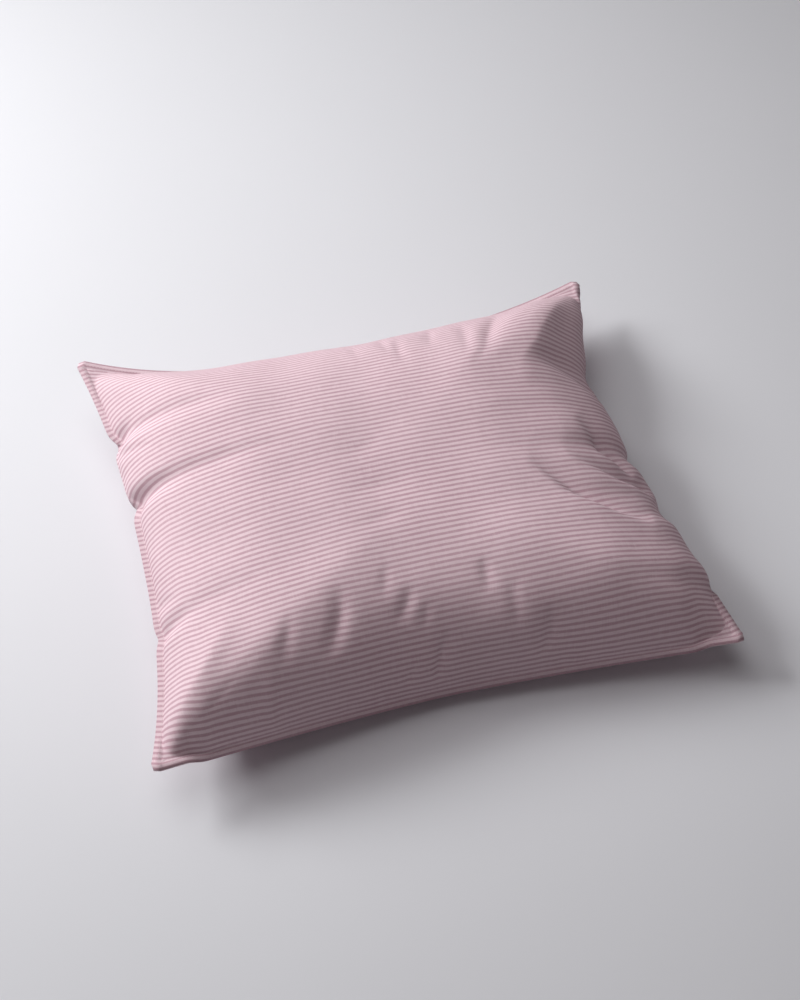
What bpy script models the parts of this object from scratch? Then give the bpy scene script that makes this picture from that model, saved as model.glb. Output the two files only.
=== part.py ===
"""A filled pillowcase lying on its back, modelled as one solid.

Two striped cotton panels, 500 by 600 mm when flat, are sewn together all
round over a soft pillow. The filling crowns both panels and draws the sides
in between the corners, the seam margin stands out as a thin stitched border,
and the slack cloth folds in from the sides and over the front.

Frame: metres, +Z up, +X along the long side, +Y towards the rear side, the
origin on the surface it lies on, under the middle of the solid's box.
"""

import math
from collections import namedtuple

import bmesh
import bpy
import numpy as np

COLLECTION_NAME = "Pillowcase"
NODE_NAME = "pillowcase"

# The cloth, in metres
FLAT_LENGTH = 0.600
FLAT_WIDTH = 0.500
BORDER_WIDTH = 0.0065
BORDER_THICKNESS = 0.0020

# The filled form
TOP_CROWN = 0.105
UNDERSIDE_CROWN = 0.072
CROWN_SHARPNESS = 2.7
FRONT_SHARPNESS = 4.5
EDGE_SHARPNESS = 0.62
HIP_SHARPNESS = 6.0
CORNER_WEDGE = 0.5
CELLS_LONG = 60
CELLS_WIDE = 50

# Where each corner of the seam is held: x, y, height
CORNERS = {
    "front left": (-0.277, -0.235, 0.056),
    "front right": (0.281, -0.236, 0.043),
    "rear left": (-0.278, 0.234, 0.075),
    "rear right": (0.273, 0.233, 0.052),
}

# How each side of the seam runs between two corners: how far it is drawn in,
# where along the side that is deepest (-1 to 1), how far it sinks there, and
# how square the curve is (1 is two straight runs, 2 an arc)
SIDES = {
    "front": {"draw_in": 0.028, "deepest_at": 0.0, "sink": 0.026, "sharpness": 1.5},
    "rear": {"draw_in": 0.034, "deepest_at": -0.15, "sink": 0.016, "sharpness": 2.6},
    "left": {"draw_in": 0.027, "deepest_at": -0.10, "sink": 0.012, "sharpness": 2.4},
    "right": {"draw_in": 0.036, "deepest_at": 0.40, "sink": 0.004, "sharpness": 1.3},
}

# Where a fold pulls the seam further in: the side, the place along it in
# millimetres of cloth from its middle, the half width and the depth
Notch = namedtuple("Notch", "side place half_width depth")
NOTCHES = (
    Notch("left", 138, 11, 7),
    Notch("left", 54, 11, 7),
    Notch("left", -111, 10, 3),
    Notch("right", 112, 16, 4),
    Notch("right", -17, 14, 8),
    Notch("right", -86, 14, 5),
)

# The main folds of the upper panel, in millimetres of flat cloth from its middle.
# Each runs from one end to the other and is a trough of this depth (a ridge
# where depth is below zero). It reaches so far to its left and its right.
# Crisp is 2 for a rounded fold and less for a sharper one. Bow is how far
# its line swings to the left, and peak where along it the fold is deepest
# (0 is its first end).
Fold = namedtuple("Fold", "name u v to_u to_v left right depth crisp bow peak")
FOLDS = (
    Fold("hip to the rear right corner", 300, 250, 168, 64, 15, 32, -13, 1.5, -10, 0.35),
    Fold("rear right hollow", 300, 78, 205, 110, 14, 14, 7, 2.0, 0, 0.0),
    Fold("rear side trough", 176, 212, 132, 98, 13, 8, 4.5, 1.7, 0, 0.5),
    Fold("right side, rear trough", 264, -42, 216, 20, 7, 12, 6, 1.5, 0, 0.2),
    Fold("right side, middle trough", 298, -62, 184, -26, 7, 16, 8, 1.4, 8, 0.15),
    Fold("right side, long trough", 236, -106, 134, -30, 6, 16, 7, 1.4, 11, 0.45),
    Fold("right side, front trough", 300, -98, 212, -101, 10, 12, 5, 2.0, 0, 0.0),
    Fold("right side bulge", 300, -172, 198, -145, 18, 18, -4, 2.0, 0, 0.0),
    Fold("hip to the front left corner", -300, -250, -214, -134, 28, 14, -10, 1.5, -4, 0.42),
    Fold("left side, rear notch", -300, 138, -232, 154, 8, 9, 7, 1.6, 0, 0.0),
    Fold("left side, middle notch", -300, 54, -216, 33, 8, 9, 7, 1.6, 0, 0.0),
    Fold("left side, front notch", -300, -111, -232, -104, 8, 8, 4, 1.8, 0, 0.0),
    Fold("first front dent", -160, -188, -145, -136, 8, 8, 3, 1.8, 0, 0.5),
    Fold("second front dent", -118, -190, -95, -124, 9, 8, 4.5, 1.8, -5, 0.45),
    Fold("fourth front dent", -43, -174, -27, -138, 7, 7, 3, 1.7, 0, 0.5),
    Fold("fifth front dent", 46, -162, 46, -126, 6, 7, 3, 1.6, 0, 0.6),
    Fold("fold beside the front middle", 94, -233, 104, -180, 8, 8, 4, 1.4, -4, 0.4),
)


def spread(steps, rise, reach, low_sharpness):
    """Places from -1 to 1 that share a crown of this rise and reach evenly."""
    place = np.sin(np.linspace(-math.pi / 2, math.pi / 2, 361))
    sharpness = np.where(place < 0, low_sharpness, CROWN_SHARPNESS)
    height = rise * (1 - np.abs(place) ** sharpness) ** EDGE_SHARPNESS
    run = np.concatenate(([0.0], np.cumsum(np.hypot(reach * np.diff(place), np.diff(height)))))
    share = 2 * run / run[-1] - 1
    return np.interp(steps, share, place)


def side_curve(side, start, end, inward, along):
    """Points of one side of the seam, for places from -1 to 1 along it."""
    shape = SIDES[side]
    deepest = shape["deepest_at"]
    reach = np.where(along > deepest, 1 - deepest, 1 + deepest)
    fall = 1 - np.abs((along - deepest) / reach) ** shape["sharpness"]
    share = (along[..., None] + 1) / 2
    line = (1 - share) * np.array(start) + share * np.array(end)
    half = FLAT_LENGTH / 2 if side in ("front", "rear") else FLAT_WIDTH / 2
    depth = shape["draw_in"] * fall
    for notch in (n for n in NOTCHES if n.side == side):
        away = (along * half * 1000 - notch.place) / notch.half_width
        depth = depth + notch.depth / 1000 * np.exp(-(away**2))
    line[..., :2] += depth[..., None] * np.array(inward)
    line[..., 2] -= shape["sink"] * fall
    return line


def seam_sheet(a, b):
    """The sheet stretched between the four sides of the seam (a Coons patch)."""
    front_left, front_right, rear_left, rear_right = (np.array(c) for c in CORNERS.values())
    front = side_curve("front", front_left, front_right, (0, 1), a)
    rear = side_curve("rear", rear_left, rear_right, (0, -1), a)
    left = side_curve("left", front_left, rear_left, (1, 0), b)
    right = side_curve("right", front_right, rear_right, (-1, 0), b)
    s = ((a + 1) / 2)[..., None]
    t = ((b + 1) / 2)[..., None]
    corners = (1 - s) * (1 - t) * front_left + s * (1 - t) * front_right
    corners = corners + (1 - s) * t * rear_left + s * t * rear_right
    return (1 - t) * front + t * rear + (1 - s) * left + s * right - corners


def crown(a, b):
    """How far the filling lifts the cloth, from 0 at the seam to 1."""
    across = np.abs(a) ** CROWN_SHARPNESS
    along = np.abs(b) ** np.where(b < 0, FRONT_SHARPNESS, CROWN_SHARPNESS)
    out = (across**HIP_SHARPNESS + along**HIP_SHARPNESS) ** (1 / HIP_SHARPNESS)
    cornering = np.minimum(across, along)
    return np.clip(1 - out, 0, None) ** (EDGE_SHARPNESS + CORNER_WEDGE * cornering)


def fold_relief(u, v):
    """Height that the folds add at a place on the flat cloth, in metres."""
    relief = np.zeros_like(u)
    for fold in FOLDS:
        run_u = fold.to_u - fold.u
        run_v = fold.to_v - fold.v
        length = math.hypot(run_u, run_v)
        along = ((u - fold.u) * run_u + (v - fold.v) * run_v) / length**2
        inside = np.clip(along, 0, 1)
        swing = fold.bow * 4 * inside * (1 - inside)
        across = ((v - fold.v) * run_u - (u - fold.u) * run_v) / length - swing
        before = (fold.peak - inside) / max(fold.peak, 0.001)
        after = (inside - fold.peak) / (1 - fold.peak)
        fade = np.cos(np.where(inside < fold.peak, before, after) * math.pi / 2) ** 1.2
        if fold.peak == 0:
            fade = fade * np.exp(-((np.minimum(along, 0) * length / fold.left) ** 2))
        reach = np.where(across > 0, fold.left, fold.right)
        fall = (across**2 + 1) ** 0.5 / reach
        relief -= fold.depth / 1000 * fade * np.exp(-(fall**fold.crisp))
    return relief


def panel_points(side):
    """Points of one panel, from seam to seam: side is 1 on top, -1 below."""
    u_steps = np.linspace(-1, 1, CELLS_LONG - 1)
    v_steps = np.linspace(-1, 1, CELLS_WIDE - 1)
    height = TOP_CROWN if side > 0 else UNDERSIDE_CROWN
    u_rise = height * (1 - np.abs(v_steps) ** CROWN_SHARPNESS) ** EDGE_SHARPNESS
    v_rise = height * (1 - np.abs(u_steps) ** CROWN_SHARPNESS) ** EDGE_SHARPNESS
    a = np.stack([spread(u_steps, rise, FLAT_LENGTH / 2, CROWN_SHARPNESS) for rise in u_rise], axis=1)
    b = np.stack([spread(v_steps, rise, FLAT_WIDTH / 2, FRONT_SHARPNESS) for rise in v_rise], axis=0)
    points = seam_sheet(a, b)
    points[..., 2] += side * height * crown(a, b)
    if side > 0:
        u, v = np.meshgrid(u_steps * FLAT_LENGTH * 500, v_steps * FLAT_WIDTH * 500, indexing="ij")
        normal = np.cross(np.gradient(points, axis=0), np.gradient(points, axis=1))
        normal /= np.linalg.norm(normal, axis=2, keepdims=True)
        points += normal * (fold_relief(u, v) * edge_fade(u_steps, v_steps))[..., None]
    points[..., 2] = np.maximum(points[..., 2], 0)
    return points


def edge_fade(u_steps, v_steps):
    """1 over the cloth, 0 at the seam."""
    return np.outer(1 - np.abs(u_steps) ** 40, 1 - np.abs(v_steps) ** 40)


def with_border(points, side):
    """The panel's points with the sewn border's outer edge as one more ring."""
    long, wide = points.shape[:2]
    ringed = np.empty((long + 2, wide + 2, 3))
    ringed[1:-1, 1:-1] = points
    outward = {}
    for name, line, turn in (
        ("front", points[:, 0], -1),
        ("rear", points[:, -1], 1),
        ("left", points[0], 1),
        ("right", points[-1], -1),
    ):
        ahead = np.gradient(line, axis=0)
        away = turn * np.stack([-ahead[:, 1], ahead[:, 0], 0 * ahead[:, 0]], axis=1)
        outward[name] = BORDER_WIDTH * away / np.linalg.norm(away, axis=1, keepdims=True)
    ringed[1:-1, 0] = points[:, 0] + outward["front"]
    ringed[1:-1, -1] = points[:, -1] + outward["rear"]
    ringed[0, 1:-1] = points[0] + outward["left"]
    ringed[-1, 1:-1] = points[-1] + outward["right"]
    for i, u_side in ((0, "left"), (-1, "right")):
        for j, v_side in ((0, "front"), (-1, "rear")):
            ringed[i, j] = points[i, j] + outward[u_side][j] + outward[v_side][i]
    ringed[..., 2] += side * BORDER_THICKNESS / 2 * border_share(long, wide)
    return ringed


def border_share(long, wide):
    """1 on the border and its seam line, 0 over the cloth."""
    share = np.zeros((long + 2, wide + 2))
    share[:2] = share[-2:] = 1
    share[:, :2] = share[:, -2:] = 1
    return share


def pillow_points():
    """Both panels' points with their border, over the middle of their box."""
    upper = with_border(panel_points(1), 1)
    under = with_border(panel_points(-1), -1)
    both = np.concatenate((upper.reshape(-1, 3), under.reshape(-1, 3)))
    middle = (both.min(axis=0) + both.max(axis=0)) / 2
    middle[2] = 0
    return upper - middle, under - middle


def build_pillow(collection, material):
    """One closed solid: the two panels, joined round the border's edge."""
    bm = bmesh.new()
    bmesh.ops.create_grid(bm, x_segments=CELLS_LONG, y_segments=CELLS_WIDE, size=1.0)
    under = list(bm.verts)
    lifted = bmesh.ops.extrude_face_region(bm, geom=bm.faces[:], use_keep_orig=True)["geom"]
    top = [item for item in lifted if isinstance(item, bmesh.types.BMVert)]
    for verts, points in zip((top, under), pillow_points()):
        for vert in verts:
            i = round((vert.co.x + 1) / 2 * CELLS_LONG)
            j = round((vert.co.y + 1) / 2 * CELLS_WIDE)
            vert.co = points[i, j]
    bmesh.ops.recalc_face_normals(bm, faces=bm.faces[:])
    mesh = bpy.data.meshes.new(NODE_NAME)
    bm.to_mesh(mesh)
    bm.free()
    mesh.shade_smooth()
    mesh.materials.append(material)
    pillow = bpy.data.objects.new(NODE_NAME, mesh)
    collection.objects.link(pillow)
    return pillow


def cotton_material():
    """Pale rose cotton percale."""
    material = bpy.data.materials.new("Rose cotton")
    material.use_nodes = True
    shader = material.node_tree.nodes["Principled BSDF"]
    shader.inputs["Base Color"].default_value = (0.66, 0.42, 0.46, 1.0)
    shader.inputs["Roughness"].default_value = 0.85
    shader.inputs["Metallic"].default_value = 0.0
    return material


def main():
    for item in list(bpy.data.objects):
        bpy.data.objects.remove(item, do_unlink=True)
    collection = bpy.data.collections.new(COLLECTION_NAME)
    bpy.context.scene.collection.children.link(collection)
    build_pillow(collection, cotton_material())


main()
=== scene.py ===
"""The looks of a filled pillowcase lying on its back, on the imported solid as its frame.

The file is laid out as an add-on: sizes and colours are properties, and each piece has its
operator. The case starts as two flat panels joined round their edge. They are moved to the same
seam, crown and main folds as the solid, with the finer creases and gathers added by formula, and
then topstitched. The shape doesn't come from a simulation.
"""

import math
from collections import namedtuple

import bpy
import numpy as np
from bpy.props import FloatProperty, FloatVectorProperty, IntProperty, PointerProperty
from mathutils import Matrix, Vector


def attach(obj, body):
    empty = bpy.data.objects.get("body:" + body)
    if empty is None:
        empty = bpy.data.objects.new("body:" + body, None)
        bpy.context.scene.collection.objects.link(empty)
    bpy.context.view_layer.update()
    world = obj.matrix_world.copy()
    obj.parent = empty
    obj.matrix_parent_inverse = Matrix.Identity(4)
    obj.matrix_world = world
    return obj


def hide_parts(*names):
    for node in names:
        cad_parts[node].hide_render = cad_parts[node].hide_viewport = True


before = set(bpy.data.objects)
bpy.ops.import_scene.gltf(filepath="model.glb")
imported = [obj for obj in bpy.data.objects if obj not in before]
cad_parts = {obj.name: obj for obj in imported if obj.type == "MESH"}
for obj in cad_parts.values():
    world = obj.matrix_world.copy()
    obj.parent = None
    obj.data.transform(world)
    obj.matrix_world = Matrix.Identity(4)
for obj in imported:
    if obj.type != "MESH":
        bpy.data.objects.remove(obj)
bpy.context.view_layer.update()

bl_info = {
    "name": "Striped pillowcase",
    "version": (1, 0, 0),
    "blender": (4, 5, 0),
    "location": "3D View > Sidebar > Pillowcase",
    "description": "Makes a filled, striped and topstitched pillowcase with its studio stage",
    "category": "Add Mesh",
}

NODE = "pillowcase"
BODY = "root"
MM = 0.001
CELL_CODE = 1000  # a point's panel, row and column are kept as the digits of one number
CUT_SPAN = 1.3  # metres of cut cloth that the UV square holds

# The seam's corners: x, y and height, in metres
CORNERS = {
    "front left": (-0.277, -0.235, 0.056),
    "front right": (0.281, -0.236, 0.043),
    "rear left": (-0.278, 0.234, 0.075),
    "rear right": (0.273, 0.233, 0.052),
}

# How each side of the seam runs between two corners: how far it is drawn in,
# where along the side that is deepest (-1 to 1), how far it sinks there, and
# how square the curve is (1 is two straight runs, 2 an arc)
SIDES = {
    "front": {"draw_in": 0.028, "deepest_at": 0.0, "sink": 0.026, "sharpness": 1.5},
    "rear": {"draw_in": 0.034, "deepest_at": -0.15, "sink": 0.016, "sharpness": 2.6},
    "left": {"draw_in": 0.027, "deepest_at": -0.10, "sink": 0.012, "sharpness": 2.4},
    "right": {"draw_in": 0.036, "deepest_at": 0.40, "sink": 0.004, "sharpness": 1.3},
}

# Where a fold pulls the seam further in: the side, the place along it in
# millimetres of cloth from its middle, the half width and the depth
Notch = namedtuple("Notch", "side place half_width depth")
NOTCHES = (
    Notch("left", 138, 11, 7),
    Notch("left", 54, 11, 7),
    Notch("left", -111, 10, 3),
    Notch("right", 112, 16, 4),
    Notch("right", -17, 14, 8),
    Notch("right", -86, 14, 5),
)

# The folds of the upper panel, main ones first, in millimetres of flat cloth from its middle.
# Each runs from one end to the other and is a trough of this depth (a ridge
# where depth is below zero). It reaches so far to its left and its right.
# Crisp is 2 for a rounded fold and less for a sharper one. Bow is how far
# its line swings to the left, and peak where along it the fold is deepest
# (0 is its first end).
Fold = namedtuple("Fold", "name u v to_u to_v left right depth crisp bow peak")
FOLDS = (
    Fold("hip to the rear right corner", 300, 250, 164, 58, 24, 34, -9, 1.4, -10, 0.45),
    Fold("rear right hollow", 300, 78, 205, 110, 14, 14, 7, 2.0, 0, 0.0),
    Fold("filling beside the rear right corner", 300, 222, 258, 132, 24, 22, -6, 2.0, 0, 0.35),
    Fold("rear side trough", 176, 212, 132, 98, 13, 8, 4.5, 1.7, 0, 0.5),
    Fold("right side, rear trough", 268, -48, 212, 24, 8, 16, 9, 1.4, 0, 0.3),
    Fold("right side, middle trough", 298, -64, 180, -24, 7, 20, 12, 1.4, 8, 0.25),
    Fold("right side, long trough", 244, -110, 130, -26, 6, 22, 11, 1.4, 11, 0.45),
    Fold("right side, front trough", 300, -98, 212, -101, 10, 12, 5, 2.0, 0, 0.0),
    Fold("right side bulge", 300, -172, 198, -145, 18, 18, -4, 2.0, 0, 0.0),
    Fold("hip to the front left corner", -300, -250, -196, -112, 28, 17, -11, 1.5, -4, 0.45),
    Fold("left side, rear notch", -300, 138, -236, 158, 8, 10, 3.2, 1.5, 0, 0.0),
    Fold("left side, middle notch", -300, 54, -216, 36, 7, 10, 2.8, 1.5, 3, 0.0),
    Fold("left side, front notch", -300, -111, -232, -104, 8, 8, 4, 1.8, 0, 0.0),
    Fold("first front dent", -160, -188, -145, -136, 8, 8, 2.4, 1.8, 0, 0.5),
    Fold("second front dent", -118, -190, -95, -124, 9, 8, 4.0, 1.8, -5, 0.45),
    Fold("fourth front dent", -43, -174, -27, -138, 7, 7, 2.4, 1.7, 0, 0.5),
    Fold("fifth front dent", 46, -162, 46, -126, 6, 7, 2.3, 1.6, 0, 0.6),
    Fold("fold beside the front middle", 94, -233, 104, -180, 8, 8, 4, 1.4, -4, 0.4),
    Fold("left side, small notch", -300, 121, -226, 94, 6, 7, 3, 1.6, 0, 0.0),
    Fold("left side, low crease", -300, -76, -246, -82, 6, 6, 2, 1.8, 0, 0.0),
    Fold("third front dent", -56, -148, -45, -111, 6, 7, 1.4, 1.8, 0, 0.5),
    Fold("dent beside the fourth", -20, -184, -13, -156, 5, 5, 1.2, 1.7, 0, 0.5),
    Fold("sixth front dent", 72, -202, 70, -150, 7, 7, 1.5, 2.0, 0, 0.5),
    Fold("crease at the front middle", -12, -238, 5, -186, 5, 6, 4, 1.3, 4, 0.35),
    Fold("short crease at the front", -45, -234, -32, -208, 5, 5, 1.8, 1.4, 0, 0.4),
    Fold("pale ridge at the front", -186, -240, -171, -180, 7, 7, -1.6, 2.0, 0, 0.4),
    Fold("first rear pucker", -1, 188, 3, 146, 7, 6, 1.0, 1.8, 0, 0.4),
    Fold("second rear pucker", 31, 194, 35, 136, 5, 7, 1.5, 1.7, 2, 0.3),
    Fold("third rear pucker", 53, 190, 48, 120, 7, 6, 1.8, 1.8, -3, 0.55),
    Fold("fourth rear pucker", 92, 200, 82, 140, 6, 8, 1.9, 1.7, 0, 0.35),
    Fold("fifth rear pucker", 127, 198, 117, 112, 7, 8, 2.3, 1.7, 3, 0.5),
    Fold("first middle dent", -58, 15, -4, 25, 9, 10, 0.9, 2.0, 0, 0.5),
    Fold("second middle dent", -68, -27, 8, -29, 9, 10, 1.1, 2.0, 0, 0.5),
    Fold("third middle dent", -66, -68, -8, -64, 8, 9, 1.1, 2.0, 0, 0.5),
)
FOLD_FADE = 1.2  # how soon a fold fades from its deepest place
SHORTEST_RISE = 0.001  # keeps a fold that is deepest at its first end from a division by zero

# Where the sewn border is folded under: the side, from and to where along it
# in millimetres of cloth from its middle, and how far (1 is out of sight)
Tuck = namedtuple("Tuck", "side start end share")
TUCKS = (
    Tuck("right", -190, 236, 1.0),
    Tuck("left", 60, 134, 0.9),
    Tuck("front", -262, 262, 0.5),
)
TUCK_FADE = 24  # millimetres over which the tucking comes and goes
TUCK_ANGLE = math.radians(105)  # how far the border is turned where it is out of sight

# The gathers along the seam: the height, the length over 2 pi and the start of
# each wave, in millimetres of cloth
GATHER_WAVES = ((0.5, 5.1, 1), (0.35, 3.3, 2), (0.6, 8.7, 0))
GATHER_SHIFTS = (40, 70)  # keeps opposite sides from having the same gathers
GATHER_SWELL = 37  # length over 2 pi in which they grow and shrink
GATHER_REACH = 20  # how far they reach in from the seam
GATHER_HEIGHT = 0.7 * MM

# The broad unevenness of the filling: the height of each swell in millimetres,
# and the two waves whose product it is, each with its lengths over 2 pi along
# u and v and its start
SWELLS = (
    (0.7, (19, 31, 0.5), (-47, 23, 2)),
    (0.5, (31, -17, 1), (math.inf, 41, 0.3)),
)

CROWN_SAMPLES = 361  # places at which the length over the crown is measured
SEAM_CRISPNESS = 40  # how close to the seam the folds still reach

# The cloth's material. A rose stripe is full out to its core and gone past its
# edge, both as shares of the stripes' pitch from its middle.
STRIPE_CORE = 0.13
STRIPE_EDGE = 0.33
STRIPE_WANDER = 0.16
YARN_CONTRAST = 0.7
STREAK_CONTRAST = 0.7
MOST_FADED = 0.10
BORDER_SHADE = (0.86, 0.82, 0.83, 1.0)
BORDER_SHADE_SHARE = 0.5
SLUBS_LENGTHWISE = (60.0, 1400.0, 1.0)
SLUBS_CROSSWISE = (1400.0, 60.0, 1.0)
CRUMPLE_SIZE = 0.045
CRUMPLE_DEPTH = 0.004
WEAVE_DEPTH = 0.0002

# The topstitching, as shares of the border's width and of the thread's thickness
STITCHES_FROM_SEAM = 0.18
STITCH_LIFT = 0.3
STITCH_DIP = 0.5
THREAD_UV_SCALE = 1500  # the thread's texture units to the metre

# The stage. Places are given as the camera sees them: rightwards, away and up.
CAMERA_TARGET = Vector((0.0065, -0.002, 0.05))
CAMERA_DISTANCE = 1.525
CAMERA_ELEVATION = math.radians(54.5)
CAMERA_AZIMUTH = math.radians(-14.7)
CAMERA_LENS = 54.0
SENSOR_WIDTH = 36.0
FLOOR_SIZE = 12
KEY_FROM = (-0.92, 0.38)
KEY_TARGET = (-0.35, 0.25, 0)
KEY_SPREAD = math.radians(110)
SoftLight = namedtuple("SoftLight", "name place size spread colour")
REAR_LIGHT = SoftLight("rear light", (-1.2, 1.0, 1.8), 1.6, math.radians(180), (1.0, 0.985, 0.99))
TOP_LIGHT = SoftLight("top light", (-0.3, 0.3, 2.2), 1.5, math.radians(90), (1.0, 0.96, 0.975))
FILL_COLOUR = (1.0, 0.93, 0.95, 1.0)


class ClothSizes(bpy.types.PropertyGroup):
    """The case as it is cut and sewn."""

    flat_length: FloatProperty(
        name="Flat length", description="Long side of the case laid flat",
        default=0.600, unit="LENGTH",
    )
    flat_width: FloatProperty(
        name="Flat width", description="Short side of the case laid flat",
        default=0.500, unit="LENGTH",
    )
    border_width: FloatProperty(
        name="Border width", description="Width of the sewn border", default=0.0065, unit="LENGTH"
    )
    border_thickness: FloatProperty(
        name="Border thickness", description="Thickness of the sewn border",
        default=0.0020, unit="LENGTH",
    )
    stitch_length: FloatProperty(
        name="Stitch length", description="Length of one stitch", default=0.0024, unit="LENGTH"
    )
    stitch_gap: FloatProperty(
        name="Stitch gap", description="Gap between two stitches", default=0.0010, unit="LENGTH"
    )
    thread_thickness: FloatProperty(
        name="Thread thickness", description="Thickness of the sewing thread",
        default=0.0006, unit="LENGTH",
    )
    stripe_pitch: FloatProperty(
        name="Stripe pitch", description="From one rose stripe to the next",
        default=0.00568, unit="LENGTH",
    )
    yarn_pitch: FloatProperty(
        name="Yarn pitch", description="From one yarn of the weave to the next",
        default=0.0005, unit="LENGTH",
    )


class FilledForm(bpy.types.PropertyGroup):
    """How the pillow inside shapes the case."""

    top_crown: FloatProperty(
        name="Top crown", description="Height of the upper panel over its seam",
        default=0.105, unit="LENGTH",
    )
    underside_crown: FloatProperty(
        name="Underside crown", description="Depth of the lower panel under its seam",
        default=0.072, unit="LENGTH",
    )
    crown_sharpness: FloatProperty(
        name="Crown sharpness", description="How flat the crown is in the middle",
        default=2.7, unit="NONE",
    )
    front_sharpness: FloatProperty(
        name="Front sharpness", description="How steeply the crown falls to the front side",
        default=4.5, unit="NONE",
    )
    edge_sharpness: FloatProperty(
        name="Edge sharpness", description="How gently the crown leaves the seam",
        default=0.62, unit="NONE",
    )
    hip_sharpness: FloatProperty(
        name="Hip sharpness", description="How clear the hips to the corners are",
        default=6.0, unit="NONE",
    )
    corner_wedge: FloatProperty(
        name="Corner wedge", description="How much the crown thins into the corners",
        default=0.5, unit="NONE",
    )
    cells_long: IntProperty(
        name="Cells along the length", description="Mesh cells along the long side", default=232
    )
    cells_wide: IntProperty(
        name="Cells across the width", description="Mesh cells along the short side", default=192
    )


class ClothColours(bpy.types.PropertyGroup):
    """Colours of the yarns and of the stage."""

    pale: FloatVectorProperty(
        name="Pale stripe", description="Colour of the pale stripes", subtype="COLOR",
        size=4, min=0, max=1, default=(0.79, 0.625, 0.672, 1.0),
    )
    rose: FloatVectorProperty(
        name="Rose stripe", description="Colour of the rose stripes", subtype="COLOR",
        size=4, min=0, max=1, default=(0.545, 0.345, 0.400, 1.0),
    )
    thread: FloatVectorProperty(
        name="Thread", description="Colour of the sewing thread", subtype="COLOR",
        size=4, min=0, max=1, default=(0.86, 0.70, 0.73, 1.0),
    )
    floor: FloatVectorProperty(
        name="Floor", description="Colour of the floor", subtype="COLOR",
        size=4, min=0, max=1, default=(0.742, 0.750, 0.780, 1.0),
    )


class StudioLight(bpy.types.PropertyGroup):
    """The soft studio lights: one low on the left, and two softer ones above."""

    key_distance: FloatProperty(
        name="Key distance", description="Level distance of the key light",
        default=2.2, unit="LENGTH",
    )
    key_elevation: FloatProperty(
        name="Key elevation", description="Height of the key light over the floor",
        default=math.radians(34), subtype="ANGLE", unit="ROTATION",
    )
    key_size: FloatProperty(
        name="Key size", description="Side of the square key light", default=0.95, unit="LENGTH"
    )
    key_power: FloatProperty(
        name="Key power", description="Power of the key light in watts",
        default=22.0, unit="NONE",
    )
    rear_power: FloatProperty(
        name="Rear power", description="Power of the light above the rear left in watts",
        default=13.0, unit="NONE",
    )
    top_power: FloatProperty(
        name="Top power", description="Power of the light overhead in watts",
        default=3.0, unit="NONE",
    )
    fill_strength: FloatProperty(
        name="Fill strength", description="Strength of the even light all round",
        default=0.10, unit="NONE",
    )


# The form of the filled case


def spread(form, steps, rise, reach, low_sharpness):
    """Places from -1 to 1 that share a crown of this rise and reach evenly."""
    place = np.sin(np.linspace(-math.pi / 2, math.pi / 2, CROWN_SAMPLES))
    sharpness = np.where(place < 0, low_sharpness, form.crown_sharpness)
    height = rise * (1 - np.abs(place) ** sharpness) ** form.edge_sharpness
    run = np.concatenate(([0.0], np.cumsum(np.hypot(reach * np.diff(place), np.diff(height)))))
    share = 2 * run / run[-1] - 1
    return np.interp(steps, share, place)


def tucked(side, place):
    """How far the border is folded under, at places in millimetres along a side."""
    share = np.zeros_like(place)
    for tuck in (t for t in TUCKS if t.side == side):
        after_start = np.clip((place - tuck.start) / TUCK_FADE + 0.5, 0, 1)
        before_end = np.clip((tuck.end - place) / TUCK_FADE + 0.5, 0, 1)
        into = after_start * before_end
        share = share + tuck.share * into * into * (3 - 2 * into)
    return share


def side_curve(cloth, side, start, end, inward, along):
    """Points of one side of the seam, for places from -1 to 1 along it."""
    shape = SIDES[side]
    deepest = shape["deepest_at"]
    reach = np.where(along > deepest, 1 - deepest, 1 + deepest)
    fall = 1 - np.abs((along - deepest) / reach) ** shape["sharpness"]
    share = (along[..., None] + 1) / 2
    line = (1 - share) * np.array(start) + share * np.array(end)
    half = cloth.flat_length / 2 if side in ("front", "rear") else cloth.flat_width / 2
    depth = shape["draw_in"] * fall
    for notch in (n for n in NOTCHES if n.side == side):
        away = (along * half / MM - notch.place) / notch.half_width
        depth = depth + notch.depth * MM * np.exp(-(away**2))
    depth = depth - cloth.border_width * tucked(side, along * half / MM)
    line[..., :2] += depth[..., None] * np.array(inward)
    line[..., 2] -= shape["sink"] * fall
    return line


def seam_sheet(cloth, a, b):
    """The sheet stretched between the four sides of the seam (a Coons patch)."""
    front_left, front_right, rear_left, rear_right = (np.array(c) for c in CORNERS.values())
    front = side_curve(cloth, "front", front_left, front_right, (0, 1), a)
    rear = side_curve(cloth, "rear", rear_left, rear_right, (0, -1), a)
    left = side_curve(cloth, "left", front_left, rear_left, (1, 0), b)
    right = side_curve(cloth, "right", front_right, rear_right, (-1, 0), b)
    s = ((a + 1) / 2)[..., None]
    t = ((b + 1) / 2)[..., None]
    corners = (1 - s) * (1 - t) * front_left + s * (1 - t) * front_right
    corners = corners + (1 - s) * t * rear_left + s * t * rear_right
    return (1 - t) * front + t * rear + (1 - s) * left + s * right - corners


def crown(form, a, b):
    """How far the filling lifts the cloth, from 0 at the seam to 1."""
    across = np.abs(a) ** form.crown_sharpness
    along = np.abs(b) ** np.where(b < 0, form.front_sharpness, form.crown_sharpness)
    out = (across**form.hip_sharpness + along**form.hip_sharpness) ** (1 / form.hip_sharpness)
    cornering = np.minimum(across, along)
    return np.clip(1 - out, 0, None) ** (form.edge_sharpness + form.corner_wedge * cornering)


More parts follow.
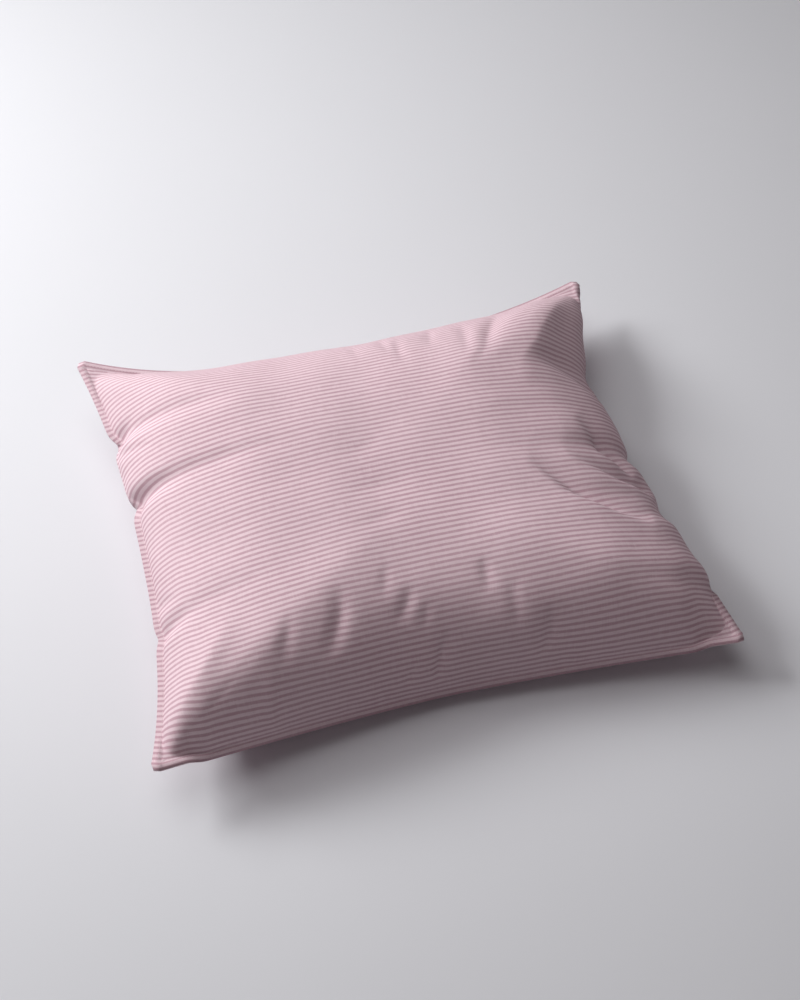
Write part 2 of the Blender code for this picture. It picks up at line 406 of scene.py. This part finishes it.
def fold_relief(folds, u, v):
    """Height in metres that the folds add at a place on the flat cloth, in millimetres."""
    relief = np.zeros_like(u)
    for fold in folds:
        run_u = fold.to_u - fold.u
        run_v = fold.to_v - fold.v
        length = math.hypot(run_u, run_v)
        along = ((u - fold.u) * run_u + (v - fold.v) * run_v) / length**2
        inside = np.clip(along, 0, 1)
        swing = fold.bow * 4 * inside * (1 - inside)
        across = ((v - fold.v) * run_u - (u - fold.u) * run_v) / length - swing
        before = (fold.peak - inside) / max(fold.peak, SHORTEST_RISE)
        after = (inside - fold.peak) / (1 - fold.peak)
        fade = np.cos(np.where(inside < fold.peak, before, after) * math.pi / 2) ** FOLD_FADE
        if fold.peak == 0:
            fade = fade * np.exp(-((np.minimum(along, 0) * length / fold.left) ** 2))
        reach = np.where(across > 0, fold.left, fold.right)
        fall = (across**2 + 1) ** 0.5 / reach
        relief -= fold.depth * MM * fade * np.exp(-(fall**fold.crisp))
    return relief


def puckers(cloth, u, v):
    """Height in metres of the gathers along the seam, at places in millimetres of cloth."""
    from_ends = cloth.flat_length / 2 / MM - np.abs(u)
    from_sides = cloth.flat_width / 2 / MM - np.abs(v)
    gathers = np.zeros_like(u)
    for from_seam, along in (
        (from_ends, v + GATHER_SHIFTS[0] * np.sign(u)),
        (from_sides, u + GATHER_SHIFTS[1] * np.sign(v)),
    ):
        waves = sum(size * np.sin(along / length + start) for size, length, start in GATHER_WAVES)
        swell = 0.6 + 0.4 * np.sin(along / GATHER_SWELL)
        gathers += waves * swell * np.exp(-np.maximum(from_seam, 0) / GATHER_REACH)
    return GATHER_HEIGHT * gathers


def slack(u, v):
    """Height in metres of the broad unevenness of soft filling under the cloth."""
    relief = np.zeros_like(u)
    for height, *waves in SWELLS:
        first, second = (np.sin(u / in_u + v / in_v + start) for in_u, in_v, start in waves)
        relief += height * first * second
    return MM * relief


def cloth_steps(form):
    """Places from -1 to 1 of the panel's rows of points, from seam to seam, each way."""
    return np.linspace(-1, 1, form.cells_long - 1), np.linspace(-1, 1, form.cells_wide - 1)


def panel_points(cloth, form, side):
    """Points of one smooth panel, from seam to seam: side is 1 on top, -1 below."""
    u_steps, v_steps = cloth_steps(form)
    height = form.top_crown if side > 0 else form.underside_crown
    u_rise = height * (1 - np.abs(v_steps) ** form.crown_sharpness) ** form.edge_sharpness
    v_rise = height * (1 - np.abs(u_steps) ** form.crown_sharpness) ** form.edge_sharpness
    half_u = cloth.flat_length / 2
    half_v = cloth.flat_width / 2
    a = [spread(form, u_steps, rise, half_u, form.crown_sharpness) for rise in u_rise]
    a = np.stack(a, axis=1)
    b = [spread(form, v_steps, rise, half_v, form.front_sharpness) for rise in v_rise]
    b = np.stack(b, axis=0)
    points = seam_sheet(cloth, a, b)
    points[..., 2] += side * height * crown(form, a, b)
    points[..., 2] = np.maximum(points[..., 2], 0)
    return points


def with_border(cloth, points, side):
    """The panel's points with the sewn border's outer edge as one more ring."""
    long, wide = points.shape[:2]
    u = np.linspace(-1, 1, long) * cloth.flat_length / 2 / MM
    v = np.linspace(-1, 1, wide) * cloth.flat_width / 2 / MM
    step = {}
    face = {}
    for name, line, turn, place in (
        ("front", points[:, 0], -1, u),
        ("rear", points[:, -1], 1, u),
        ("left", points[0], 1, v),
        ("right", points[-1], -1, v),
    ):
        ahead = np.gradient(line, axis=0)
        away = turn * np.stack([-ahead[:, 1], ahead[:, 0], 0 * ahead[:, 0]], axis=1)
        away /= np.linalg.norm(away, axis=1, keepdims=True)
        up = np.array([0.0, 0.0, 1.0])
        turned = tucked(name, place)[:, None] * TUCK_ANGLE
        step[name] = cloth.border_width * (np.cos(turned) * away - np.sin(turned) * up)
        out_of_cloth = np.cos(turned) * up + np.sin(turned) * away
        face[name] = side * cloth.border_thickness / 2 * out_of_cloth
    ringed = np.empty((long + 2, wide + 2, 3))
    ringed[1:-1, 1:-1] = points
    for name, seam, edge in (
        ("front", (slice(1, -1), 1), (slice(1, -1), 0)),
        ("rear", (slice(1, -1), -2), (slice(1, -1), -1)),
        ("left", (1, slice(1, -1)), (0, slice(1, -1))),
        ("right", (-2, slice(1, -1)), (-1, slice(1, -1))),
    ):
        ringed[edge] = ringed[seam] + step[name] + face[name]
        ringed[seam] += face[name]
    for i, u_side in ((0, "left"), (-1, "right")):
        for j, v_side in ((0, "front"), (-1, "rear")):
            ringed[i, j] = points[i, j] + step[u_side][j] + step[v_side][i] + face[u_side][j]
    return ringed


def case_points(cloth, form):
    """Both panels' points with their border, moved so that the middle of their box lies over the
    origin.
    """
    upper = with_border(cloth, panel_points(cloth, form, 1), 1)
    under = with_border(cloth, panel_points(cloth, form, -1), -1)
    both = np.concatenate((upper.reshape(-1, 3), under.reshape(-1, 3)))
    middle = (both.min(axis=0) + both.max(axis=0)) / 2
    middle[2] = 0
    return upper - middle, under - middle


def flat_places(cloth, form):
    """Where each point of a panel lies on the flat cloth, in metres from its middle."""
    u_steps, v_steps = cloth_steps(form)
    border = cloth.border_width
    half_u = cloth.flat_length / 2
    half_v = cloth.flat_width / 2
    u = np.concatenate(([-half_u - border], u_steps * half_u, [half_u + border]))
    v = np.concatenate(([-half_v - border], v_steps * half_v, [half_v + border]))
    return np.meshgrid(u, v, indexing="ij")


# Mesh and object helpers


def deselect_all():
    """Nothing selected, in object mode."""
    if bpy.context.object and bpy.context.object.mode != "OBJECT":
        bpy.ops.object.mode_set(mode="OBJECT")
    bpy.ops.object.select_all(action="DESELECT")


def get_points(mesh):
    """A mesh's points as rows of x, y, z."""
    flat = np.zeros(len(mesh.vertices) * 3)
    mesh.vertices.foreach_get("co", flat)
    return flat.reshape(-1, 3)


def set_points(mesh, points):
    """Moves a mesh's points to these rows of x, y, z."""
    mesh.vertices.foreach_set("co", np.asarray(points, float).ravel())
    mesh.update()


def finish_piece(piece):
    """Ties a piece to the frame's body."""
    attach(piece, BODY)


# Shader node helpers


class Graph:
    """Adds nodes to a node tree and links them."""

    def __init__(self, tree):
        self.tree = tree

    def add(self, kind, **settings):
        """A new node of this kind with these settings."""
        node = self.tree.nodes.new(kind)
        for name, value in settings.items():
            setattr(node, name, value)
        return node

    def link(self, source, target):
        """Links an output to an input, or sets the input to a plain value."""
        if isinstance(source, bpy.types.NodeSocket):
            self.tree.links.new(source, target)
        else:
            target.default_value = source

    def math(self, operation, first, second=0.0, third=0.0):
        """The output of a Math node."""
        node = self.add("ShaderNodeMath", operation=operation)
        for source, target in zip((first, second, third), node.inputs):
            self.link(source, target)
        return node.outputs[0]

    def soft_step(self, value, low, high, to_low=0.0, to_high=1.0):
        """A value taken smoothly from one range to another."""
        node = self.add("ShaderNodeMapRange", interpolation_type="SMOOTHSTEP")
        for source, target in zip((value, low, high, to_low, to_high), node.inputs):
            self.link(source, target)
        return node.outputs[0]

    def noise(self, vector, scale, detail=2.0, roughness=0.5):
        """The value of a Noise texture."""
        node = self.add("ShaderNodeTexNoise")
        self.link(vector, node.inputs["Vector"])
        node.inputs["Scale"].default_value = scale
        node.inputs["Detail"].default_value = detail
        node.inputs["Roughness"].default_value = roughness
        return node.outputs[0]

    def scaled(self, vector, scale):
        """A vector with each part multiplied."""
        node = self.add("ShaderNodeVectorMath", operation="MULTIPLY")
        self.link(vector, node.inputs[0])
        node.inputs[1].default_value = scale
        return node.outputs[0]

    def mix(self, share, first, second, blend="MIX"):
        """The colour between two colours, from the node's colour sockets."""
        node = self.add("ShaderNodeMix", data_type="RGBA", blend_type=blend)
        self.link(share, node.inputs["Factor"])
        self.link(first, node.inputs[6])
        self.link(second, node.inputs[7])
        return node.outputs[2]


def new_group(name, inputs, outputs):
    """A shader node group, its graph, and its input and output nodes."""
    tree = bpy.data.node_groups.new(name, "ShaderNodeTree")
    for socket, kind, default in inputs:
        made = tree.interface.new_socket(name=socket, in_out="INPUT", socket_type=kind)
        if default is not None:
            made.default_value = default
    for socket, kind in outputs:
        tree.interface.new_socket(name=socket, in_out="OUTPUT", socket_type=kind)
    graph = Graph(tree)
    return tree, graph, graph.add("NodeGroupInput"), graph.add("NodeGroupOutput")


def yarn_group():
    """Height and tone of yarns that cross over and under each other."""
    tree, graph, given, out = new_group(
        "Yarns",
        [
            ("Cloth", "NodeSocketVector", None),
            ("Pitch", "NodeSocketFloat", 0.0005),
            ("Slub", "NodeSocketFloat", 0.35),
        ],
        [("Height", "NodeSocketFloat"), ("Tone", "NodeSocketFloat")],
    )
    parts = graph.add("ShaderNodeSeparateXYZ")
    graph.link(given.outputs["Cloth"], parts.inputs[0])
    turns = graph.math("DIVIDE", 2 * math.pi, given.outputs["Pitch"])
    along = graph.math("SINE", graph.math("MULTIPLY", parts.outputs["X"], turns))
    across = graph.math("SINE", graph.math("MULTIPLY", parts.outputs["Y"], turns))
    crossing = graph.math("MULTIPLY", along, across)
    long_slubs = graph.noise(graph.scaled(given.outputs["Cloth"], SLUBS_LENGTHWISE), 1.0)
    cross_slubs = graph.noise(graph.scaled(given.outputs["Cloth"], SLUBS_CROSSWISE), 1.0)
    slubs = graph.math("ADD", long_slubs, cross_slubs)
    weave = graph.math("MULTIPLY", crossing, 0.5)
    height = graph.math("MULTIPLY_ADD", slubs, given.outputs["Slub"], weave)
    graph.link(height, out.inputs["Height"])
    graph.link(graph.math("SUBTRACT", slubs, 1.0), out.inputs["Tone"])
    return tree


def crumple_group():
    """Height of the fine crumples that washing leaves in cotton."""
    tree, graph, given, out = new_group(
        "Crumples",
        [("Place", "NodeSocketVector", None), ("Size", "NodeSocketFloat", 0.02)],
        [("Height", "NodeSocketFloat")],
    )
    inverse = graph.math("DIVIDE", 1.0, given.outputs["Size"])
    spot = graph.add("ShaderNodeVectorMath", operation="SCALE")
    graph.link(given.outputs["Place"], spot.inputs[0])
    graph.link(inverse, spot.inputs["Scale"])
    broad = graph.noise(spot.outputs[0], 1.0, detail=3.0, roughness=0.55)
    ridges = graph.math("ABSOLUTE", graph.math("SUBTRACT", broad, 0.5))
    graph.link(graph.math("MULTIPLY", ridges, -1.0), out.inputs["Height"])
    return tree


def cloth_coordinates(graph):
    """Place on the cut cloth, in metres, from the UV map."""
    uv = graph.add("ShaderNodeUVMap", uv_map="Cloth")
    return graph.scaled(uv.outputs[0], (CUT_SPAN, CUT_SPAN, 1.0))


def striped_cotton(cloth, colours):
    """Yarn-dyed cotton in narrow stripes, with its weave, slubs and crumples."""
    material = bpy.data.materials.new("Striped cotton")
    material.use_nodes = True
    graph = Graph(material.node_tree)
    shader = material.node_tree.nodes["Principled BSDF"]
    place = cloth_coordinates(graph)

    yarns = graph.add("ShaderNodeGroup", node_tree=yarn_group())
    graph.link(place, yarns.inputs["Cloth"])
    yarns.inputs["Pitch"].default_value = cloth.yarn_pitch
    parts = graph.add("ShaderNodeSeparateXYZ")
    graph.link(place, parts.inputs[0])

    wobble = graph.noise(graph.scaled(place, (14.0, 60.0, 1.0)), 1.0)
    shift = graph.math("MULTIPLY", graph.math("SUBTRACT", wobble, 0.5), STRIPE_WANDER)
    turn = graph.math("ADD", graph.math("DIVIDE", parts.outputs["Y"], cloth.stripe_pitch), shift)
    away = graph.math("ABSOLUTE", graph.math("SUBTRACT", graph.math("FRACT", turn), 0.5))
    rose_share = graph.soft_step(away, STRIPE_CORE, STRIPE_EDGE, 1.0, 0.0)
    worn = graph.math("MULTIPLY", yarns.outputs["Tone"], YARN_CONTRAST)
    rose_share = graph.math("ADD", rose_share, worn)
    streaks = graph.noise(graph.scaled(place, (160.0, 520.0, 1.0)), 1.0, detail=3.0)
    uneven = graph.math("MULTIPLY", graph.math("SUBTRACT", streaks, 0.5), STREAK_CONTRAST)
    rose_share = graph.math("ADD", rose_share, uneven)
    stripes = graph.mix(rose_share, tuple(colours.pale), tuple(colours.rose))

    patch = graph.noise(graph.scaled(place, (9.0, 9.0, 1.0)), 1.0, detail=3.0)
    fading = graph.soft_step(patch, 0.3, 0.7, 0.0, MOST_FADED)
    faded = graph.mix(fading, stripes, tuple(colours.pale))
    over_border = graph.math("MULTIPLY", border_mask(graph, cloth, parts), BORDER_SHADE_SHARE)
    doubled = graph.mix(1.0, faded, BORDER_SHADE, blend="MULTIPLY")
    graph.link(graph.mix(over_border, faded, doubled), shader.inputs["Base Color"])

    coordinates = graph.add("ShaderNodeTexCoord")
    crumples = graph.add("ShaderNodeGroup", node_tree=crumple_group())
    graph.link(coordinates.outputs["Object"], crumples.inputs["Place"])
    crumples.inputs["Size"].default_value = CRUMPLE_SIZE
    soft = graph.add("ShaderNodeBump")
    soft.inputs["Strength"].default_value = 0.35
    soft.inputs["Distance"].default_value = CRUMPLE_DEPTH
    graph.link(crumples.outputs["Height"], soft.inputs["Height"])
    fine = graph.add("ShaderNodeBump")
    fine.inputs["Strength"].default_value = 0.25
    fine.inputs["Distance"].default_value = WEAVE_DEPTH
    graph.link(yarns.outputs["Height"], fine.inputs["Height"])
    graph.link(soft.outputs["Normal"], fine.inputs["Normal"])
    graph.link(fine.outputs["Normal"], shader.inputs["Normal"])
    roughness = graph.soft_step(yarns.outputs["Height"], -0.3, 0.9, 0.92, 0.78)
    graph.link(roughness, shader.inputs["Roughness"])
    shader.inputs["Specular IOR Level"].default_value = 0.1
    shader.inputs["Sheen Weight"].default_value = 0.03
    shader.inputs["Sheen Roughness"].default_value = 0.5
    return material


def border_mask(graph, cloth, parts):
    """1 on the sewn border of either panel, 0 over the cloth."""
    panel_u = graph.math("PINGPONG", parts.outputs["X"], CUT_SPAN / 2)
    from_middle_u = graph.math("ABSOLUTE", graph.math("SUBTRACT", panel_u, CUT_SPAN / 4))
    from_middle_v = graph.math("ABSOLUTE", graph.math("SUBTRACT", parts.outputs["Y"], CUT_SPAN / 2))
    past_u = graph.math("SUBTRACT", from_middle_u, cloth.flat_length / 2)
    past_v = graph.math("SUBTRACT", from_middle_v, cloth.flat_width / 2)
    past = graph.math("MAXIMUM", past_u, past_v)
    return graph.soft_step(past, 0.0, 0.0015)


def sewing_thread(colours):
    """Pale cotton thread with its twist."""
    material = bpy.data.materials.new("Sewing thread")
    material.use_nodes = True
    graph = Graph(material.node_tree)
    shader = material.node_tree.nodes["Principled BSDF"]
    uv = graph.add("ShaderNodeUVMap", uv_map="Thread")
    wave = graph.add("ShaderNodeTexWave", bands_direction="DIAGONAL")
    wave.inputs["Scale"].default_value = 2.0
    wave.inputs["Distortion"].default_value = 0.6
    graph.link(uv.outputs[0], wave.inputs["Vector"])
    dark = tuple(0.78 * part for part in colours.thread[:3]) + (1.0,)
    colour = graph.mix(wave.outputs["Fac"], dark, tuple(colours.thread))
    graph.link(colour, shader.inputs["Base Color"])
    twist = graph.add("ShaderNodeBump")
    twist.inputs["Strength"].default_value = 0.5
    twist.inputs["Distance"].default_value = 0.0001
    graph.link(wave.outputs["Fac"], twist.inputs["Height"])
    graph.link(twist.outputs["Normal"], shader.inputs["Normal"])
    roughness = graph.soft_step(wave.outputs["Fac"], 0.0, 1.0, 0.75, 0.55)
    graph.link(roughness, shader.inputs["Roughness"])
    shader.inputs["Sheen Weight"].default_value = 0.1
    return material


def pale_floor(colours):
    """A plain matt floor with a barely uneven tone."""
    material = bpy.data.materials.new("Pale floor")
    material.use_nodes = True
    graph = Graph(material.node_tree)
    shader = material.node_tree.nodes["Principled BSDF"]
    coordinates = graph.add("ShaderNodeTexCoord")
    tone = graph.noise(coordinates.outputs["Object"], 3.0, detail=4.0)
    darker = tuple(0.97 * part for part in colours.floor[:3]) + (1.0,)
    graph.link(graph.mix(tone, darker, tuple(colours.floor)), shader.inputs["Base Color"])
    shader.inputs["Roughness"].default_value = 0.6
    shader.inputs["Specular IOR Level"].default_value = 0.3
    return material


# The case


class MakeCase(bpy.types.Operator):
    """Add the filled case: two striped panels over a pillow, with their sewn border"""

    bl_idname = "pillowcase.make_case"
    bl_label = "Filled case"

    def execute(self, context):
        cloth = context.scene.pillowcase_cloth
        form = context.scene.pillowcase_form
        case = lay_flat(form)
        grid = grid_places(case.data, form)
        note_cells(case.data, grid)
        lay_out_uvs(case.data, cloth, form, grid)
        shape_case(case.data, cloth, form, grid)
        case.data.materials.append(striped_cotton(cloth, context.scene.pillowcase_colours))
        bpy.ops.object.shade_smooth()
        finish_piece(case)
        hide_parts(NODE)
        return {"FINISHED"}


def lay_flat(form):
    """Two flat panels joined round the edge: a grid, extruded upwards."""
    deselect_all()
    bpy.ops.mesh.primitive_grid_add(
        x_subdivisions=form.cells_long, y_subdivisions=form.cells_wide, size=2, location=(0, 0, 0)
    )
    case = bpy.context.object
    case.name = case.data.name = "striped_case"
    bpy.ops.object.mode_set(mode="EDIT")
    bpy.ops.mesh.select_all(action="SELECT")
    bpy.ops.mesh.extrude_region_move(TRANSFORM_OT_translate={"value": (0, 0, 1)})
    bpy.ops.mesh.select_all(action="SELECT")
    bpy.ops.mesh.normals_make_consistent(inside=False)
    bpy.ops.object.mode_set(mode="OBJECT")
    while case.data.uv_layers:
        case.data.uv_layers.remove(case.data.uv_layers[0])
    return case


def grid_places(mesh, form):
    """Each point's column, row, and whether it is on the upper panel."""
    points = get_points(mesh)
    along = np.rint((points[:, 0] + 1) / 2 * form.cells_long).astype(int)
    across = np.rint((points[:, 1] + 1) / 2 * form.cells_wide).astype(int)
    return along, across, points[:, 2] > 0.5


def note_cells(mesh, grid):
    """Keeps each point's panel and cell as a number on the mesh."""
    along, across, upper = grid
    cells = mesh.attributes.new("cell", "INT", "POINT")
    cells.data.foreach_set("value", (upper * CELL_CODE + along) * CELL_CODE + across)


def lay_out_uvs(mesh, cloth, form, grid):
    """The UV map: both panels as they are cut, side by side in one square."""
    along, across, upper = grid
    u, v = flat_places(cloth, form)
    layer = mesh.uv_layers.new(name="Cloth")
    corners = np.zeros(len(mesh.loops), int)
    mesh.loops.foreach_get("vertex_index", corners)
    face_upper = np.concatenate([
        np.full(len(face.vertices), upper[list(face.vertices)].any()) for face in mesh.polygons
    ])
    cells = along[corners], across[corners]
    places = np.stack([u[cells], v[cells]], axis=1)
    folded_over = (face_upper & ~upper[corners])[:, None]
    edge = np.abs(places).max(axis=0)
    over_edge = np.where(np.abs(places) > 0.9999 * edge, np.sign(places), 0)
    places += np.where(folded_over, cloth.border_thickness * over_edge, 0)
    places = places / CUT_SPAN + 0.5
    places[:, 0] += np.where(face_upper, -0.25, 0.25)
    layer.data.foreach_set("uv", places.ravel())


def shape_case(mesh, cloth, form, grid):
    """Moves the flat panels to the filled form, then presses the folds in."""
    along, across, upper = grid
    top, under = case_points(cloth, form)
    u, v = flat_places(cloth, form)
    inside = inside_seam(cloth, u, v)
    gathers = (puckers(cloth, u / MM, v / MM) + slack(u / MM, v / MM)) * inside
    top = top + outward(top) * (fold_relief(FOLDS, u / MM, v / MM) * inside + gathers)[..., None]
    under = under - outward(under) * gathers[..., None]
    under[..., 2] = np.maximum(under[..., 2], 0)
    points = np.where(upper[:, None], top[along, across], under[along, across])
    set_points(mesh, points)


def outward(panel):
    """The upward unit normal at each of a panel's points."""
    normal = np.cross(np.gradient(panel, axis=0), np.gradient(panel, axis=1))
    return normal / np.linalg.norm(normal, axis=2, keepdims=True)


def inside_seam(cloth, u, v):
    """1 over the cloth, 0 at the seam and on the border."""
    in_u = 1 - np.clip(np.abs(u) / (cloth.flat_length / 2), 0, 1) ** SEAM_CRISPNESS
    in_v = 1 - np.clip(np.abs(v) / (cloth.flat_width / 2), 0, 1) ** SEAM_CRISPNESS
    return in_u * in_v


# The topstitching


class MakeTopstitching(bpy.types.Operator):
    """Add the row of stitches that holds the border, on both faces"""

    bl_idname = "pillowcase.make_topstitching"
    bl_label = "Topstitching"

    def execute(self, context):
        cloth = context.scene.pillowcase_cloth
        form = context.scene.pillowcase_form
        case = bpy.data.objects["striped_case"]
        places = []
        for is_upper in (True, False):
            places += stitch_places(case, cloth, form, is_upper)
        stitching = copy_stitches(one_stitch(cloth), places)
        stitching.data.materials.append(sewing_thread(context.scene.pillowcase_colours))
        finish_piece(stitching)
        return {"FINISHED"}


def seam_and_edge(form):
    """Cells round a panel, in order: those on its seam, and their neighbours on the border's edge."""
    long = form.cells_long
    wide = form.cells_wide
    front = [((i, 1), (i, 0)) for i in range(1, long - 1)]
    right = [((long - 1, j), (long, j)) for j in range(1, wide - 1)]
    rear = [((i, wide - 1), (i, wide)) for i in range(long - 1, 1, -1)]
    left = [((1, j), (0, j)) for j in range(wide - 1, 1, -1)]
    return zip(*front, *right, *rear, *left)


def stitch_places(case, cloth, form, is_upper):
    """Middle, direction and outward normal of each stitch on one face of the border."""
    on_surface = get_points(case.data)
    index = index_by_cell(case, is_upper)
    seam, edge = (on_surface[[index[cell] for cell in cells]] for cells in seam_and_edge(form))
    line = (1 - STITCHES_FROM_SEAM) * seam + STITCHES_FROM_SEAM * edge
    closed = np.concatenate((line, line[:1]))
    run = np.concatenate(([0.0], np.cumsum(np.linalg.norm(np.diff(closed, axis=0), axis=1))))
    step = cloth.stitch_length + cloth.stitch_gap
    count = int(run[-1] / step)
    middles = (np.arange(count) + 0.5) * run[-1] / count
    at = np.stack([np.interp(middles, run, closed[:, k]) for k in range(3)], axis=1)
    ahead = np.roll(at, -1, axis=0) - np.roll(at, 1, axis=0)
    ahead /= np.linalg.norm(ahead, axis=1, keepdims=True)
    out = np.concatenate((edge - seam, (edge - seam)[:1]))
    out = np.stack([np.interp(middles, run, out[:, k]) for k in range(3)], axis=1)
    normal = np.cross(out, ahead) * (-1 if is_upper else 1)
    normal /= np.linalg.norm(normal, axis=1, keepdims=True)
    return list(zip(at + normal * STITCH_LIFT * cloth.thread_thickness, ahead, normal))


def index_by_cell(case, is_upper):
    """The point's number for each cell of one panel."""
    index = {}
    for vert, cell in enumerate(case.data.attributes["cell"].data):
        row, across = divmod(cell.value, CELL_CODE)
        upper, along = divmod(row, CELL_CODE)
        if bool(upper) == is_upper:
            index[(along, across)] = vert
    return index


def one_stitch(cloth):
    """One stitch: a short length of thread that dips at both ends."""
    deselect_all()
    bpy.ops.mesh.primitive_uv_sphere_add(
        segments=6, ring_count=5, radius=0.5, rotation=(0, math.pi / 2, 0)
    )
    stitch = bpy.context.object
    bpy.ops.object.transform_apply(location=False, rotation=True, scale=False)
    points = get_points(stitch.data)
    points[:, 0] *= cloth.stitch_length
    points[:, 1:] *= cloth.thread_thickness
    from_middle = 2 * points[:, 0] / cloth.stitch_length
    points[:, 2] -= STITCH_DIP * cloth.thread_thickness * from_middle**2
    set_points(stitch.data, points)
    return stitch


def copy_stitches(stitch, places):
    """One mesh of all the stitches, each laid along the seam."""
    shape = get_points(stitch.data)
    faces = [tuple(face.vertices) for face in stitch.data.polygons]
    points = []
    all_faces = []
    for number, (middle, ahead, up) in enumerate(places):
        side = np.cross(up, ahead)
        points.append(middle + shape @ np.stack([ahead, side, up]))
        all_faces += [tuple(corner + number * len(shape) for corner in face) for face in faces]
    mesh = bpy.data.meshes.new("topstitching")
    mesh.from_pydata(np.concatenate(points).tolist(), [], all_faces)
    layer = mesh.uv_layers.new(name="Thread")
    corners = np.zeros(len(mesh.loops), int)
    mesh.loops.foreach_get("vertex_index", corners)
    along = shape[corners % len(shape), 0] * THREAD_UV_SCALE + corners // len(shape)
    around = shape[corners % len(shape), 1] * THREAD_UV_SCALE
    layer.data.foreach_set("uv", np.stack([along, around], axis=1).ravel())
    mesh.shade_smooth()
    bpy.data.objects.remove(stitch)
    stitching = bpy.data.objects.new("topstitching", mesh)
    bpy.context.scene.collection.objects.link(stitching)
    return stitching


# The stage


class MakeStage(bpy.types.Operator):
    """Add the floor, the soft studio light and the camera at the photo's angle"""

    bl_idname = "pillowcase.make_stage"
    bl_label = "Stage"

    def execute(self, context):
        studio = context.scene.pillowcase_studio
        add_floor(context.scene.pillowcase_colours)
        add_lights(studio)
        add_fill_light(studio)
        add_camera()
        context.scene.view_settings.view_transform = "Standard"
        return {"FINISHED"}


def add_floor(colours):
    """A wide level floor under the case."""
    deselect_all()
    bpy.ops.mesh.primitive_plane_add(size=FLOOR_SIZE, location=(0, 0, 0))
    floor = bpy.context.object
    floor.name = floor.data.name = "floor"
    floor.data.materials.append(pale_floor(colours))


def aim(item, target):
    """Turns an item so that its -Z looks at the target."""
    item.rotation_euler = (Vector(target) - item.location).to_track_quat("-Z", "Y").to_euler()


def seen_from_camera(rightwards, away, height):
    """A place given as the camera sees the floor: rightwards, away and up."""
    right = Vector((math.cos(CAMERA_AZIMUTH), math.sin(CAMERA_AZIMUTH), 0))
    ahead = Vector((-math.sin(CAMERA_AZIMUTH), math.cos(CAMERA_AZIMUTH), 0))
    return right * rightwards + ahead * away + Vector((0, 0, height))


def add_soft_light(name, place, target, size, power, spread_angle, colour=(1.0, 1.0, 1.0)):
    """A square soft light with its grid set to this angle."""
    bpy.ops.object.light_add(type="AREA", location=place)
    light = bpy.context.object
    light.name = light.data.name = name
    light.data.shape = "SQUARE"
    light.data.size = size
    light.data.energy = power
    light.data.spread = spread_angle
    light.data.color = colour
    aim(light, target)


def add_lights(studio):
    """The key light on the left, aimed past the case, and two soft lights above."""
    away = Vector(KEY_FROM).normalized() * studio.key_distance
    height = studio.key_distance * math.tan(studio.key_elevation)
    key_place = seen_from_camera(away.x, away.y, height)
    key_target = seen_from_camera(*KEY_TARGET)
    add_soft_light(
        "key light", key_place, key_target, studio.key_size, studio.key_power, KEY_SPREAD
    )
    for light, power in ((REAR_LIGHT, studio.rear_power), (TOP_LIGHT, studio.top_power)):
        place = seen_from_camera(*light.place)
        add_soft_light(light.name, place, (0, 0, 0), light.size, power, light.spread, light.colour)


def add_fill_light(studio):
    """Even, faintly pink light from all round."""
    world = bpy.data.worlds.new("studio")
    bpy.context.scene.world = world
    world.use_nodes = True
    background = world.node_tree.nodes["Background"]
    background.inputs["Color"].default_value = FILL_COLOUR
    background.inputs["Strength"].default_value = studio.fill_strength


def add_camera():
    """The camera at the photo's place over the case."""
    back = Vector((
        math.sin(CAMERA_AZIMUTH) * math.cos(CAMERA_ELEVATION),
        -math.cos(CAMERA_AZIMUTH) * math.cos(CAMERA_ELEVATION),
        math.sin(CAMERA_ELEVATION),
    ))
    bpy.ops.object.camera_add(location=CAMERA_TARGET + back * CAMERA_DISTANCE)
    camera = bpy.context.object
    camera.data.lens = CAMERA_LENS
    camera.data.sensor_width = SENSOR_WIDTH
    aim(camera, CAMERA_TARGET)
    bpy.context.scene.camera = camera


# The add-on


class PillowcasePanel(bpy.types.Panel):
    """Sizes, colours and the operators that make each piece"""

    bl_idname = "VIEW3D_PT_pillowcase"
    bl_label = "Pillowcase"
    bl_space_type = "VIEW_3D"
    bl_region_type = "UI"
    bl_category = "Pillowcase"

    def draw(self, context):
        for group in GROUPS:
            box = self.layout.box()
            for name in group.__annotations__:
                box.prop(getattr(context.scene, GROUPS[group]), name)
        for operator in OPERATORS:
            self.layout.operator(operator.bl_idname)


GROUPS = {
    ClothSizes: "pillowcase_cloth",
    FilledForm: "pillowcase_form",
    ClothColours: "pillowcase_colours",
    StudioLight: "pillowcase_studio",
}
OPERATORS = (MakeStage, MakeCase, MakeTopstitching)


def register():
    """Registers the groups, operators and panel."""
    for group, name in GROUPS.items():
        bpy.utils.register_class(group)
        setattr(bpy.types.Scene, name, PointerProperty(type=group))
    for item in (*OPERATORS, PillowcasePanel):
        bpy.utils.register_class(item)


def unregister():
    """Takes them out again."""
    for item in (PillowcasePanel, *OPERATORS):
        bpy.utils.unregister_class(item)
    for group, name in GROUPS.items():
        delattr(bpy.types.Scene, name)
        bpy.utils.unregister_class(group)


def main():
    """Makes every piece in order."""
    register()
    bpy.ops.pillowcase.make_stage()
    bpy.ops.pillowcase.make_case()
    bpy.ops.pillowcase.make_topstitching()


if __name__ == "__main__":
    main()
